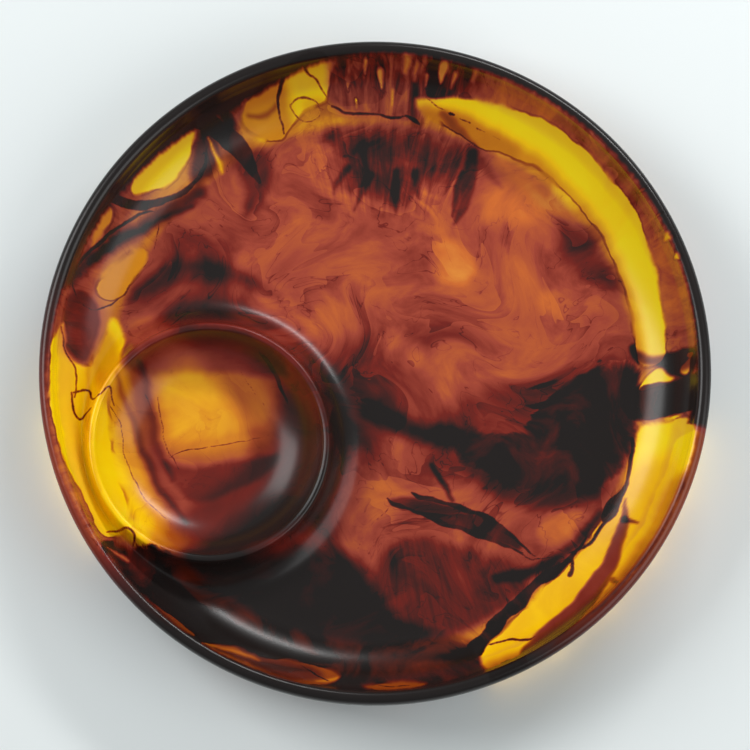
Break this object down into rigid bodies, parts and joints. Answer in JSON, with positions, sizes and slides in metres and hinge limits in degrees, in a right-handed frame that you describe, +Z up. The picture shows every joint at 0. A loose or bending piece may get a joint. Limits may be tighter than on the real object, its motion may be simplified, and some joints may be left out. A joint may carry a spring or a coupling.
{
  "type": "serving platter",
  "caption": "Round cast resin serving platter with a raised rim and a built-in round dip well, in tortoiseshell amber, red-brown and black resin",
  "frame": {"origin": "middle of the flat base, on the surface that the platter stands on", "axes": "+Z up; +Y towards the rim farthest from the user; the dip well is on the -X, -Y side"},
  "size_m": [0.35, 0.35, 0.044],
  "materials": {
    "black_resin": "satin, hand-sanded cast resin",
    "red_brown_resin": "satin, hand-sanded cast resin",
    "brown_resin": "satin, hand-sanded cast resin",
    "yellow_amber_resin": "satin, hand-sanded cast resin",
    "deep_red_resin": "satin, hand-sanded cast resin",
    "streaked_resin": "satin, hand-sanded cast resin",
    "orange_amber_resin": "satin, hand-sanded cast resin",
    "dark_brown_resin": "satin, hand-sanded cast resin"
  },
  "bodies": {
    "root": {"black_rim_band": "black_resin", "red_rim_band": "red_brown_resin", "black_front_rim_band": "black_resin", "brown_rim_band": "brown_resin", "black_tongue": "black_resin", "amber_right_wall": "yellow_amber_resin", "red_fringe_wall": "deep_red_resin", "amber_window": "yellow_amber_resin", "streaked_wall": "streaked_resin", "amber_left_wall": "yellow_amber_resin", "black_front_wall": "black_resin", "amber_front_right_wall": "yellow_amber_resin", "amber_well_floor": "orange_amber_resin", "amber_well_wall": "yellow_amber_resin", "dark_well_wall": "dark_brown_resin", "dark_well_foot": "dark_brown_resin", "black_floor_streak": "black_resin", "dark_front_floor": "dark_brown_resin", "amber_floor": "orange_amber_resin"}
  },
  "joints": []
}
